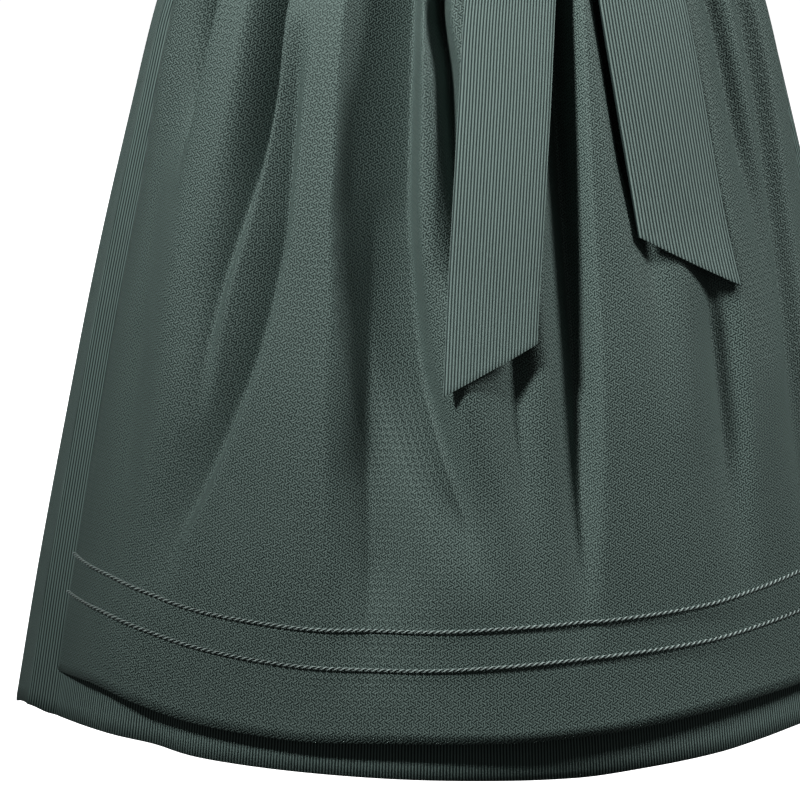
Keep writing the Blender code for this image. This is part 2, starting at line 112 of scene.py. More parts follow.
def placeCamera():
    turn, pitch = radians(view["turn"]), radians(view["pitch"])
    back = Vector((-sin(turn), -cos(turn), 0))
    right = Vector((cos(turn), -sin(turn), 0))
    spot = back * view["distance"] + right * view["sideways"]
    spot.z = view["height"]
    away = back * cos(pitch) + Vector((0, 0, sin(pitch)))
    facing = Matrix((right, away.cross(right), away)).transposed().to_4x4()
    made = bpy.data.objects.new("camera", bpy.data.cameras.new("camera"))
    made.data.lens = view["lens"]
    made.data.sensor_width = 36.0
    made.data.clip_end = 200.0
    made.matrix_world = Matrix.Translation(spot) @ facing
    bpy.context.scene.collection.objects.link(made)
    bpy.context.scene.camera = made


def placeLamps():
    for name, width, height, power, spot, target, spread in studio["lamps"]:
        lamp = bpy.data.lights.new(name, "AREA")
        lamp.shape = "RECTANGLE"
        lamp.size, lamp.size_y, lamp.energy, lamp.spread = width, height, power, radians(spread)
        made = bpy.data.objects.new(name, lamp)
        made.location = spot
        made.rotation_euler = (Vector(target) - Vector(spot)).to_track_quat("-Z", "Y").to_euler()
        bpy.context.scene.collection.objects.link(made)
    world = bpy.data.worlds.new("studioAir")
    world.use_nodes = True
    nodes, links = world.node_tree.nodes, world.node_tree.links
    air = nodes["Background"]
    air.inputs["Color"].default_value = (1, 1, 1, 1)
    backdrop = nodes.new("ShaderNodeMix")  # a white backdrop behind, a dimmer air round the dress
    backdrop.inputs["A"].default_value, backdrop.inputs["B"].default_value = studio["air"], 1.0
    links.new(nodes.new("ShaderNodeLightPath").outputs["Is Camera Ray"], backdrop.inputs["Factor"])
    links.new(backdrop.outputs["Result"], air.inputs["Strength"])
    bpy.context.scene.world = world
    bpy.context.scene.view_settings.view_transform = "Standard"


placeCamera()
placeLamps()
print("camera and lamps placed")


# Finishes


def operator(operation, reflected=False):
    # what a Python operator does between a socket and another socket or a number
    if reflected:
        return lambda self, other: self.maths(operation, other, self)
    return lambda self, other: self.maths(operation, self, other)


class Wire:
    # a socket, so that shader maths reads as sums
    def __init__(self, look, socket):
        self.look, self.socket = look, socket

    def maths(self, operation, *values):
        return self.look.add("ShaderNodeMath", {"operation": operation}, dict(enumerate(values)))

    __add__, __radd__ = operator("ADD"), operator("ADD", reflected=True)
    __sub__, __rsub__ = operator("SUBTRACT"), operator("SUBTRACT", reflected=True)
    __mul__, __rmul__ = operator("MULTIPLY"), operator("MULTIPLY", reflected=True)
    __truediv__, __rtruediv__ = operator("DIVIDE"), operator("DIVIDE", reflected=True)
    __mod__, __rmod__ = operator("FLOORED_MODULO"), operator("FLOORED_MODULO", reflected=True)
    __pow__, __rpow__ = operator("POWER"), operator("POWER", reflected=True)
    __lt__, __gt__ = operator("LESS_THAN"), operator("GREATER_THAN")
    most = operator("MAXIMUM")

    def wave(self, operation):
        # the sine or cosine, from 0 to 1
        return self.maths(operation, self) * 0.5 + 0.5


class Look:
    # one material: add() makes any node, and feed() links what varies to the shader
    def __init__(self, name, **fixed):
        self.material = bpy.data.materials.new(name)
        self.material.use_nodes = True
        self.tree = self.material.node_tree
        self.shader = self.tree.nodes["Principled BSDF"]
        for socket, value in fixed.items():
            self.shader.inputs[socket.replace("_", " ")].default_value = value

    def add(self, kind, settings, inputs, output=0):
        node = self.tree.nodes.new(kind)
        for key, value in settings.items():
            setattr(node, key, value)
        for key, value in inputs.items():
            if isinstance(value, Wire):
                self.tree.links.new(value.socket, node.inputs[key])
            else:
                node.inputs[key].default_value = value
        return Wire(self, node.outputs[output])

    def feed(self, socket, wire):
        self.tree.links.new(wire.socket, self.shader.inputs[socket])

    def sheetPlace(self):
        # metres across and along the cloth
        place = self.add("ShaderNodeUVMap", {"uv_map": "cloth"}, {})
        across = self.add("ShaderNodeSeparateXYZ", {}, {0: place}, 0)
        return place, across, Wire(self, across.socket.node.outputs[1])

    def solidPlace(self):
        return self.add("ShaderNodeTexCoord", {}, {}, "Object")

    def speckle(self, place, by, detail=2.0):
        # noise from 0 to 1, scaled along each axis
        place = self.add("ShaderNodeMapping", {}, {"Vector": place, "Scale": by})
        return self.add("ShaderNodeTexNoise", {}, {"Vector": place, "Scale": 1.0, "Detail": detail})

    def paint(self, share, first, second):
        # a colour between the two
        inputs = {0: share, 6: (*first, 1.0), 7: (*second, 1.0)}
        self.feed("Base Color", self.add("ShaderNodeMix", {"data_type": "RGBA"}, inputs, 2))

    def finished(self, shade, dark, light, roughness, height, relief):
        # how light it is, how rough, and its relief, in metres
        self.paint(shade, dark, light)
        self.feed("Roughness", roughness)
        self.feed("Normal", self.add("ShaderNodeBump", {}, {"Height": height, "Distance": relief}))
        return self.material


stripe = {
    "pitch": 0.00233, "relief": 0.00022, "weft": 0.00042, "roughness": 0.68, "wander": 0.00016,
    # how much the ribs, slubs and clouds lighten it, how much the weft darkens it, and its own darkness
    "contrast": 1.5, "unevenness": 0.352, "cloud": 0.16, "weftShade": 0.05, "darkness": 0.27,
    "weftRelief": 0.16, "slubRelief": 0.22,
}


def stripedCloth(name, dark, light):
    # fine lengthwise ribs, a light one and a dark groove
    look = Look(name, Specular_IOR_Level=0.5, Specular_Tint=(0.78, 1.0, 0.95, 1.0))
    place, across, along = look.sheetPlace()
    drift = look.speckle(place, (90, 22, 1)) - 0.5
    turn = (across + drift * stripe["wander"]) * (2 * pi / stripe["pitch"])
    rib = turn.wave("COSINE")
    slub = look.speckle(place, (1500, 60, 1), detail=3.0)
    weft = (along * (2 * pi / stripe["weft"])).wave("SINE")
    cloud = look.speckle(place, (9, 6, 1), detail=1.0)
    uneven = (slub - 0.5) * stripe["unevenness"] + (cloud - 0.5) * stripe["cloud"]
    shade = rib * stripe["contrast"] + uneven - weft * stripe["weftShade"] - stripe["darkness"]
    relief = rib + weft * stripe["weftRelief"] + slub * stripe["slubRelief"]
    return look.finished(shade, dark, light, rib * 0.08 + stripe["roughness"], relief, stripe["relief"])


jacquard = {
    "repeat": 0.0058, "strokes": 3.0, "relief": 0.00022, "satin": 0.46, "matt": 0.78, "warp": 0.0013,
    # how much the strokes, the slubs and the clouds lighten it, and how dark it is to begin with
    "contrast": 1.5, "slub": 0.85, "cloud": 0.18, "darkness": 0.26, "slubRelief": 0.5,
}


def jacquardCloth(name, ground, figure):
    # six-sided cells of three leaning lozenges, each hatched its own way, so that the strokes make a maze
    look = Look(name, Specular_IOR_Level=0.6, Specular_Tint=(0.78, 1.0, 0.93, 1.0))
    place, across, along = look.sheetPlace()
    swing = look.speckle(place, (260, 260, 1), detail=1.0) - 0.5
    sway = look.speckle(place, (-230, 290, 7), detail=1.0) - 0.5
    x = (across + swing * jacquard["warp"]) / jacquard["repeat"]
    y = (along + sway * jacquard["warp"]) / jacquard["repeat"]
    tall = sqrt(3)
    firstX, firstY = x % 1.0 - 0.5, y % tall - tall / 2
    otherX, otherY = (x + 0.5) % 1.0 - 0.5, (y + tall / 2) % tall - tall / 2
    nearer = firstX * firstX + firstY * firstY < otherX * otherX + otherY * otherY
    cellX = nearer * (firstX - otherX) + otherX
    cellY = nearer * (firstY - otherY) + otherY
    right = cellX * (tall / 2) - cellY * 0.5
    left = 0.0 - cellX * (tall / 2) - cellY * 0.5
    isTop = right.most(left) < cellY
    isRight = cellY.most(left) < right
    rising, falling = cellY * (tall / 2) - cellX * 0.5, 0.0 - cellX * 0.5 - cellY * (tall / 2)
    past = isTop * (rising - falling) + isRight * (cellX - falling) + falling
    turn = past * (2 * pi * jacquard["strokes"])
    stroke = turn.wave("COSINE")
    slub = look.speckle(place, (900, 900, 1), detail=2.0) - 0.5
    cloud = look.speckle(place, (7, 5, 1), detail=1.0) - 0.5
    uneven = slub * jacquard["slub"] + cloud * jacquard["cloud"]
    shade = stroke * jacquard["contrast"] + uneven - jacquard["darkness"]
    roughness = stroke * (jacquard["matt"] - jacquard["satin"]) + jacquard["satin"]
    relief = stroke + slub * jacquard["slubRelief"]
    return look.finished(shade, ground, figure, roughness, relief, jacquard["relief"])


cotton = {"pitch": 0.0006, "relief": 0.00008, "roughness": 0.78}


def plainCotton(name, dark, light):
    look = Look(name, Specular_IOR_Level=0.3, Sheen_Weight=0.1)
    place, across, along = look.sheetPlace()
    warp, weft = [way * (2 * pi / cotton["pitch"]) for way in (across, along)]
    weave = warp.maths("SINE", warp) * weft.maths("SINE", weft) * 0.5 + 0.5
    slub = look.speckle(place, (500, 60, 1))
    return look.finished(
        weave * 0.5 + slub * 0.5, dark, light, slub * 0.1 + cotton["roughness"],
        weave + slub * 0.4, cotton["relief"],
    )


thread = {"fibre": 2600, "relief": 0.00012, "roughness": 0.49, "grooveShadeEdge": 0.60}


def twistedThread(name, dark, light, paintsGrooveShade=False):
    look = Look(name, Specular_IOR_Level=0.45, Sheen_Weight=0.2, Sheen_Roughness=0.4)
    place, fibre = look.solidPlace(), thread["fibre"]
    fibres = look.speckle(place, (fibre * 0.5, fibre * 0.5, fibre), detail=3.0)
    cloud = look.speckle(place, (90, 90, 90), detail=1.0)
    shade = fibres * 0.8 + cloud * 0.3
    if paintsGrooveShade:  # painted shade where the strands meet, darker towards each strand's inner side
        shade = (look.sheetPlace()[2] - thread["grooveShadeEdge"]) * (shade * 1.6 + 2.4)
    roughness = fibres * 0.12 + thread["roughness"]
    return look.finished(shade, dark, light, roughness, fibres, thread["relief"])


horn = {"relief": 0.00005, "roughness": 0.26}


def polishedHorn(name, dark, light):
    look = Look(name, Specular_IOR_Level=0.5, Coat_Weight=0.25, Coat_Roughness=0.2)
    place = look.solidPlace()
    bands = look.speckle(place, (160, 160, 620), detail=4.0)
    pores = look.speckle(place, (3200, 3200, 700), detail=1.0)
    return look.finished(
        bands ** 1.4 * 1.5, dark, light, pores * 0.14 + horn["roughness"],
        bands * 0.5 + pores, horn["relief"],
    )


sashStripe = stripedCloth("sashStripe", (0.005, 0.012, 0.011), (0.180, 0.248, 0.228))
# the sash's stripe again, its colours painted darker to stand in for the dimmer light on the skirt
stripeWithPaintedShade = stripedCloth("stripeWithPaintedShade", (0.003, 0.008, 0.007), (0.150, 0.215, 0.196))
skirtReverse = stripedCloth("skirtReverse", (0.030, 0.045, 0.042), (0.075, 0.105, 0.098))
apronJacquard = jacquardCloth("apronJacquard", (0.004, 0.010, 0.009), (0.116, 0.163, 0.148))
apronReverse = jacquardCloth("apronReverse", (0.030, 0.046, 0.042), (0.060, 0.086, 0.079))
bodiceLining = plainCotton("bodiceLining", (0.045, 0.060, 0.056), (0.080, 0.100, 0.094))
# the cord's finish paints shade into the grooves between its strands
cordYarn = twistedThread("cordYarn", (0.028, 0.045, 0.041), (0.290, 0.365, 0.343), paintsGrooveShade=True)
sewingThread = twistedThread("sewingThread", (0.045, 0.068, 0.063), (0.120, 0.160, 0.150))
buttonHorn = polishedHorn("buttonHorn", (0.020, 0.026, 0.024), (0.110, 0.118, 0.100))
print("finishes made")


# The body's rings

body = {
    "hemDrop": 1.09,  # from the shoulders' origin to the hem
    "waist": 0.690,
    "roundness": 1.053,
    "seamGap": 0.0003,
    "layerGap": 0.0004,
    "cadCloth": 0.0020,
}
waist = body["waist"]


def rounded(value):
    return copysign(abs(value) ** body["roundness"], value)


def ringPoint(halfWidth, depth, turn, out, height):
    angle = radians(turn)
    return Vector((
        (halfWidth + out) * rounded(sin(angle)),
        -(depth + out) * rounded(cos(angle)),
        height - body["hemDrop"],
    ))


# Meshes and pieces


def meshFrom(form, name):
    mesh = bpy.data.meshes.new(name)
    form.to_mesh(mesh)
    form.free()
    return mesh


def shownPiece(name, mesh, *finishes):
    for finish in finishes:
        mesh.materials.append(finish)
    made = bpy.data.objects.new(name, mesh)
    bpy.context.scene.collection.objects.link(made)
    return made


def dressPiece(name, mesh, finish, slot, *nodes):
    # a piece of the dress, which is one body
    made = shownPiece(name, mesh, finish)
    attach(made, "root")
    if nodes:
        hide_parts(*nodes)
    return made


def joinRings(form, rings):
    # walls between neighbouring rings, and a cap on each end
    for a, b in zip(rings, rings[1:]):
        for k in range(len(a)):
            form.faces.new((a[k - 1], a[k], b[k], b[k - 1]))
    form.faces.new(rings[0])
    form.faces.new(rings[-1][::-1])


def smoothed(form):
    bmesh.ops.recalc_face_normals(form, faces=form.faces)
    for face in form.faces:
        face.smooth = True
    return form


def mapped(form, places):
    # each vertex's metres across and along its cloth
    layer = form.loops.layers.uv.new("cloth")
    for face in form.faces:
        face.smooth = True
        for corner in face.loops:
            corner[layer].uv = places[corner.vert]
    return form


def aheadAt(points, i):
    return (points[min(i + 1, len(points) - 1)] - points[max(i - 1, 0)]).normalized()


def squaredTo(ahead, outward):
    return (outward - ahead * outward.dot(ahead)).normalized()


# Cloth sheets


def measured(spots, columns, rows, flatWidth, hidden):
    # each point's metres across and along the cloth, with the cloth that the folds swallow put into them
    places = {}
    down = [0.0]
    for j in range(rows):
        steps = [(spots[i, j + 1].co - spots[i, j].co).length for i in range(0, columns + 1, 4)]
        down.append(down[-1] + sum(steps) / len(steps))
    for j in range(rows + 1):
        run, swallowed = [0.0], [0.0]
        for i in range(columns):
            run.append(run[-1] + (spots[i + 1, j].co - spots[i, j].co).length)
            weight = hidden((i + 0.5) / columns, j / rows) if hidden else 1.0
            swallowed.append(swallowed[-1] + weight)
        spare = (flatWidth - run[-1]) / max(swallowed[-1], 1e-6) if flatWidth else 0.0
        along = [run[i] + swallowed[i] * spare for i in range(columns + 1)]
        for i in range(columns + 1):
            places[i, j] = (along[i] - along[columns // 2], down[j])
    return places


def clothSheet(
    name, place, columns, rows, finishes, wall, edge=0.0, flatWidth=None, hidden=None, joined=False,
    turned=False, hemRows=0,
):
    form = bmesh.new()
    thick = form.verts.layers.deform.new() if hemRows else None
    bmesh.ops.create_grid(form, x_segments=columns, y_segments=rows, size=0.5)
    spots = {}
    for vertex in form.verts:
        across, up = vertex.co.x + 0.5, vertex.co.y + 0.5
        spots[round(across * columns), round(up * rows)] = vertex
        vertex.co = place(across, up)
    places = measured(spots, columns, rows, flatWidth, hidden)
    mapped(form, {vertex: places[spot][::-1] if turned else places[spot] for spot, vertex in spots.items()})
    if hemRows:
        for (i, j), vertex in spots.items():
            vertex[thick][0] = 1.0 if j <= hemRows else 0.5
    if joined:
        bmesh.ops.remove_doubles(form, verts=form.verts, dist=1e-5)
    made = shownPiece(name, meshFrom(form, name), *finishes)
    shell = made.modifiers.new("wall", "SOLIDIFY")
    shell.thickness = wall
    shell.offset = -1
    if hemRows:
        made.vertex_groups.new(name="hem")
        shell.vertex_group = "hem"
    if len(finishes) > 1:
        shell.material_offset = 1
    if edge:  # softens its cut edges
        rounder = made.modifiers.new("edge", "BEVEL")
        rounder.width, rounder.segments, rounder.limit_method = edge, 2, "ANGLE"
        rounder.angle_limit = radians(50)
    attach(made, "root")
    return made


def declare(nodes, withPieces=()):
    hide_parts(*nodes)


# Stitches

stitch = {
    "pitch": 0.0030, "half": 0.38, "thread": 0.00020, "flatness": 0.7, "lift": 0.00022, "sunk": -0.00008,
    "samples": 60, "probe": 0.003,
}


def rowsDown(edge, end):
    # a row down each side, as shares in from the edges and the ends
    return [((across, end), (across, 1 - end)) for across in (edge, 1 - edge)]


def sewRows(name, place, rows):
    # rows of single stitches on a sheet, each row from one spot of it to another
    form = bmesh.new()
    for first, last in rows:

        def along(share, across=0.0, up=0.0):
            return place(mix(first[0], last[0], share) + across, mix(first[1], last[1], share) + up)

        def outwardAt(share):
            probe = stitch["probe"]
            wide = along(share, across=probe) - along(share, across=-probe)
            outward = wide.cross(along(share, up=probe) - along(share, up=-probe)).normalized()
            return -outward if outward.dot(along(share) - Vector((0, 0, waist))) < 0 else outward

        points = [along(i / stitch["samples"]) for i in range(stitch["samples"] + 1)]
        length = sum((b - a).length for a, b in zip(points, points[1:]))
        count = max(3, round(length / stitch["pitch"]))
        for i in range(count):
            middle = (i + 0.5) / count
            outward = outwardAt(middle)
            up = outward * stitch["thread"] * stitch["flatness"]
            rings = []
            for step, rise in ((-1, "sunk"), (0, "lift"), (1, "sunk")):
                share = middle + step * stitch["half"] / count
                ahead = (along(share + 0.002) - along(share - 0.002)).normalized()
                side = outward.cross(ahead) * stitch["thread"]
                spot = along(share) + outward * stitch[rise]
                rings.append([form.verts.new(spot + part) for part in (side, up, -side, -up)])
            joinRings(form, rings)
    return dressPiece(name, meshFrom(smoothed(form), name), sewingThread, "striped_cloth")


# Skirt

skirt = {
    "depthShare": 0.787,
    # height, half width, depth of the gathers, how far the apron stands out past them
    "rings": (
        (0.000, 0.3330, 0.0000, 0.0135), (0.112, 0.3140, 0.0000, 0.0115), (0.227, 0.2917, 0.0004, 0.0105),
        (0.342, 0.2681, 0.0010, 0.0105), (0.455, 0.2413, 0.0018, 0.0110), (0.530, 0.2218, 0.0030, 0.0105),
        (0.600, 0.1980, 0.0055, 0.0080), (0.650, 0.1755, 0.0055, 0.0045), (0.675, 0.1555, 0.0030, 0.0020),
        (0.690, 0.1330, 0.0010, 0.0000),
    ),
    # turn, height: the hem rises towards the sides
    "hem": (
        (-90, 0.0090), (-82, 0.0165), (-77, 0.0195), (-73, 0.0152), (-68, 0.0145), (-57, 0.0120),
        (-43, 0.0060), (-27, 0.0020), (-10, -0.0010), (8, -0.0025), (17, 0.0000), (29, 0.0040),
        (36, 0.0080), (44, 0.0120), (60, 0.0155), (73, 0.0150), (77, 0.0195), (82, 0.0165),
        (90, 0.0090), (130, 0.0030), (180, 0.0000), (230, 0.0030), (270, 0.0090),
    ),
    "sideTurn": 77.0, "sideFront": 4.6, "sideBack": 9.0, "sideShare": 0.038,  # the sharp fold down each side
    "gathers": 28, "backFolds": 7, "backFoldDepth": 0.0095, "backFoldTop": 0.63, "backEase": 55.0,
    "ripple": 0.0011, "sideDip": 0.0055, "dipTurn": -51, "dipBreadth": 4.5, "dipTop": 0.16,
    "wall": 0.0010, "columns": 240, "rows": 96, "hemRows": 6, "flat": (0.95, 0.71),
}
skirtWidth, gatherDepth, apronLift = columnCurves(skirt["rings"])
(skirtHem,) = columnCurves(skirt["hem"])


def gatherWave(turn):
    angle = radians(turn)
    return 0.5 + 0.5 * cos(skirt["gathers"] * angle + 0.9 * sin(3 * angle + 0.5))


def skirtFold(turn, height):
    angle = radians(turn)
    uneven = 0.78 + 0.22 * sin(5 * angle + 1.0)
    gathers = gatherDepth(height) * uneven * gatherWave(turn)
    behind = smoothStep((turn - 90) / skirt["backEase"]) * smoothStep((270 - turn) / skirt["backEase"])
    fullness = smoothStep((skirt["backFoldTop"] - height) / skirt["backFoldTop"] * 2)
    soft = 0.5 + 0.5 * cos(2 * skirt["backFolds"] * (angle - pi) + 0.7 * sin(4 * angle))
    ripple = skirt["ripple"] * wander(turn * 0.09, height * 4, 3.1) * smoothStep((abs(turn) - 70) / 20)
    sideDip = hump(turn - skirt["dipTurn"] + 20 * height, skirt["dipBreadth"])
    sideDip *= -skirt["sideDip"] * smoothStep(1 - height / skirt["dipTop"])
    aside = min(abs(turn), 360 - abs(turn)) - skirt["sideTurn"]
    crest = 1 - aside / -skirt["sideFront"] if aside < 0 else exp(-aside / skirt["sideBack"])
    sideRidge = skirt["sideShare"] * skirtWidth(height) * max(crest, 0.0) * smoothStep((0.62 - height) / 0.1)
    return gathers + skirt["backFoldDepth"] * behind * fullness * soft ** 1.15 + ripple + sideDip + sideRidge


def skirtPoint(turn, height, out=0.0):
    halfWidth = skirtWidth(height)
    return ringPoint(halfWidth, halfWidth * skirt["depthShare"], turn, out, height)


def towardsWaist(share):
    return 1 - (1 - share) ** 1.6


def skirtPanel(first, last):
    def place(across, up):
        hem = skirtHem(mix(first, last, across))
        height = mix(hem, waist - body["seamGap"], towardsWaist(up))
        part = degrees(body["seamGap"] / 2 / skirtWidth(height)) * 1.3
        turn = mix(first + part, last - part, across)
        return skirtPoint(turn, height, skirtFold(turn, height) - apronInset(turn, height))

    def hidden(across, up):
        turn = mix(first, last, across)
        return 0.06 + (1 - gatherWave(turn)) ** 3

    return place, hidden


# Apron

apron = {
    "left": -72.5, "right": 67.5, "edgeTurn": (17.0, 9.0), "gap": 0.0008,
    # turn, and the heights of the hem, the lower cord and the upper cord there
    "lines": (
        (-72.5, 0.0485, 0.1072, 0.1356), (-62.0, 0.0508, 0.1050, 0.1320), (-52.0, 0.0425, 0.0975, 0.1243),
        (-43.0, 0.0345, 0.0895, 0.1160), (-35.0, 0.0305, 0.0847, 0.1118), (-27.0, 0.0280, 0.0818, 0.1092),
        (-16.0, 0.0290, 0.0813, 0.1089), (-3.0, 0.0288, 0.0840, 0.1113), (11.0, 0.0312, 0.0871, 0.1129),
        (26.0, 0.0388, 0.0906, 0.1166), (35.0, 0.0440, 0.0958, 0.1228), (43.0, 0.0475, 0.1008, 0.1291),
        (55.0, 0.0520, 0.1070, 0.1360), (67.5, 0.0540, 0.1100, 0.1390),
    ),
    # each fold: its line as height, turn and share of the depth, its breadth to the left and the right, and
    # how it rolls down from the left: late and steeply when over 1, at once when under 1
    "folds": (
        (((0.69, -50, 0.6), (0.55, -56, 0.6), (0.5, -56.5, 0.45), (0.42, -57, 0)), 6, 3, 2),
        (((0.6, -60, 0), (0.52, -61.5, 0.22), (0.4, -62, 0.3), (0.28, -61, 0.32), (0.18, -60, 0.24),
          (0.08, -60, 0)), 9, 10, 0.9),
        (((0.69, -38, 0.85), (0.55, -41, 0.9), (0.5, -41.2, 0.85), (0.45, -42, 0.7),
          (0.4, -43.4, 0.45), (0.34, -45.6, 0.3), (0.25, -47, 0)), 7, 2.4, 2),
        (((0.54, -36, 0), (0.47, -36.2, 0.35), (0.4, -36.2, 0.5), (0.35, -37.2, 0.6),
          (0.3, -39, 0.6), (0.25, -42, 0.55), (0.2, -45.4, 0.42), (0.165, -48.2, 0.25),
          (0.11, -51, 0)), 10, 2.6, 1.8),
        (((0.69, -15, 0.95), (0.55, -17.6, 1), (0.42, -17.4, 1), (0.36, -16.5, 0.88),
          (0.3, -14.8, 0.52), (0.25, -12, 0.3), (0.2, -9, 0.12), (0.15, -7, 0)), 10.5, 2.8, 0.62),
        (((0.42, -22.6, 0), (0.3, -22.2, 0.42), (0.22, -21.6, 0.55), (0.16, -21, 0.55),
          (0.1, -20.6, 0.25), (0.06, -20.4, 0)), 5, 13, 1.2),
        (((0.38, -17, 0), (0.3, -14.8, 0.32), (0.25, -11.8, 0.35), (0.2, -8.8, 0.3),
          (0.13, -6, 0)), 6.5, 6.5, 1.3),
        (((0.69, -9, 0.85), (0.55, -12.4, 0.9), (0.5, -10.6, 0.75), (0.44, -9.8, 0.5),
          (0.39, -9.5, 0.25), (0.34, -9.3, 0)), 4, 2.4, 2),
        (((0.41, -1, 0), (0.34, -0.6, 0.35), (0.27, -0.2, 0.4), (0.22, 0.4, 0.36), (0.16, 1, 0.2),
          (0.1, 1, 0)), 8, 5.5, 1.4),
        (((0.69, 13, 0.95), (0.55, 11, 0.97), (0.45, 10.1, 0.9), (0.4, 9.9, 0.82), (0.3, 9.8, 0.68),
          (0.25, 9.6, 0.6), (0.18, 9.2, 0.45), (0.08, 8, 0)), 8, 3.2, 1.4),
        (((0.69, 18, 0.8), (0.55, 19.4, 0.95), (0.45, 20.6, 0.8), (0.39, 21.4, 0.3), (0.33, 22, 0.1),
          (0.25, 22, 0)), 5, 6, 2),
        (((0.69, 27, 0.7), (0.58, 30, 0.6), (0.5, 31, 0.3), (0.36, 32.6, 0.25), (0.3, 32.6, 0.38),
          (0.24, 32.4, 0.35), (0.19, 32, 0.2), (0.12, 32, 0)), 9, 4.5, 1.8),
        (((0.69, 36, 0.7), (0.55, 42, 0.3), (0.45, 42.2, 0.25), (0.38, 43, 0.15), (0.28, 43, 0)), 6.5, 4, 2),
        (((0.69, 46, 0.6), (0.55, 50.5, 0.25), (0.42, 48.5, 0.25), (0.32, 46.8, 0.22),
          (0.24, 45.5, 0.2), (0.12, 44.5, 0)), 6, 4, 2),
        (((0.69, 57, 0.6), (0.55, 63, 0.3), (0.4, 62, 0.28), (0.25, 61, 0.2), (0.13, 60, 0)), 7, 4, 2),
    ),
    "blend": 0.12,
    "fullness": 3.7,  # how much deeper the folds are than the plain form's
    "sunk": 0.45,  # the share of that depth that lies inwards
    "fineGathers": 46, "fineDepth": 0.0012, "uneven": 0.0013,
    "wall": 0.0009, "columns": 330, "rows": 130, "hemRows": 5, "flat": (0.87, 0.66),
}
apronHem, lowerCord, upperCord = columnCurves(apron["lines"])
apronFolds = [(*columnCurves(line[::-1]), *shape) for line, *shape in apron["folds"]]


def foldShare(fold, turn, height, narrow=1.0):
    # the cloth rolls down from the left, and the next fold stands up sharply on the right
    turnAt, shareAt, left, right, roll = fold
    away = turn - turnAt(height)
    if away < -left * narrow or away > right * narrow:
        return 0.0
    if away < 0:
        return shareAt(height) * (1 + away / (left * narrow)) ** roll
    return shareAt(height) * (1 - smoothStep(away / (right * narrow)))


def apronFold(turn, height):
    # the share of the depth that the folds leave standing, evened out where they run together
    spare = 1 - sum(foldShare(fold, turn, height) for fold in apronFolds)
    soft = apron["blend"]
    return soft * log1p(exp(spare / soft))


def apronLifts(turn, height):
    # how far the ridges stand out on the plain form, and with the folds deepened
    inside = min(turn - apron["left"], apron["right"] - turn)
    edgeTurn = mix(*apron["edgeTurn"], smoothStep((height - 0.30) / 0.20))
    ease = sin(pi / 2 * min(inside / edgeTurn, 1.0)) ** 1.2 if inside > 0 else 0.0
    lift = apronLift(height) * ease
    low = smoothStep((height - 0.02) / 0.28)
    return lift, lift * mix(1.0, apron["fullness"], low * smoothStep((0.69 - height) / 0.08)), ease


def apronInset(turn, height):
    # the folds press the skirt under them in by this much
    lift, fullLift, _ = apronLifts(turn, height)
    return (fullLift - lift) * apron["sunk"]


def apronStand(turn, height, folded=True):
    # the outer face, out from the skirt's plain form
    onSkirt = gatherDepth(height) + apron["gap"] + body["cadCloth"]
    lift, fullLift, ease = apronLifts(turn, height)
    if not folded:
        return onSkirt + lift
    angle = radians(turn)
    fine = 0.5 + 0.5 * cos(apron["fineGathers"] * angle + 1.3 * sin(5 * angle))
    nearWaist = smoothStep((height - 0.57) / 0.07) * smoothStep((0.693 - height) / 0.02)
    gathers = apron["fineDepth"] * fine * nearWaist
    uneven = apron["uneven"] * wander(turn * 0.055, height * 5.0, 8.4) * ease
    uneven *= smoothStep((0.66 - height) / 0.05)
    return onSkirt + fullLift * apronFold(turn, height) - apronInset(turn, height) + gathers + uneven


def apronPoint(turn, height, out=0.0):
    return skirtPoint(turn, height, apronStand(turn, height) + out)


def apronPlace(across, up):
    turn = mix(apron["left"], apron["right"], across)
    height = mix(apronHem(turn), waist - body["seamGap"], towardsWaist(up))
    return apronPoint(turn, height)


def apronHidden(across, up):
    turn = mix(apron["left"], apron["right"], across)
    height = mix(apronHem(turn), waist, towardsWaist(up))
    return 0.35 + sum(foldShare(fold, turn, height, 0.6) for fold in apronFolds)


for name, node, first, last in (("skirtFront", "skirt_front", -90, 90), ("skirtBack", "skirt_back", 90, 270)):
    place, hidden = skirtPanel(first, last)
    panel = clothSheet(
        name, place, skirt["columns"], skirt["rows"], (stripeWithPaintedShade, skirtReverse), skirt["wall"],
        flatWidth=skirt["flat"][0], hidden=hidden, hemRows=skirt["hemRows"],
    )
    declare([node])
print("skirt sewn")

apronPanel = clothSheet(
    "apronPanel", apronPlace, apron["columns"], apron["rows"], (apronJacquard, apronReverse), apron["wall"],
    flatWidth=apron["flat"][0], hidden=apronHidden, hemRows=apron["hemRows"],
)
print("apron hung")


# Cords

cords = {
    "length": 0.80,  # a little over the real one, which sets only how finely it is stepped
    "strand": 0.00062, "reach": 0.00074, "lay": 0.0092, "stepsPerTurn": 16, "seat": 0.0014, "sides": 8,
}


def strandPoints(path, start):
    # a strand that winds round the path
    points, gone = [], 0.0
    for i, point in enumerate(path):
        ahead = aheadAt(path, i)
        if i:
            gone += (point - path[i - 1]).length
        outward = squaredTo(ahead, Vector((point.x, point.y * 1.6, 0)).normalized())
        angle = start + 2 * pi * gone / cords["lay"]
        around = outward * cos(angle) + outward.cross(ahead) * sin(angle)
        points.append(point + around * cords["reach"])
    return points


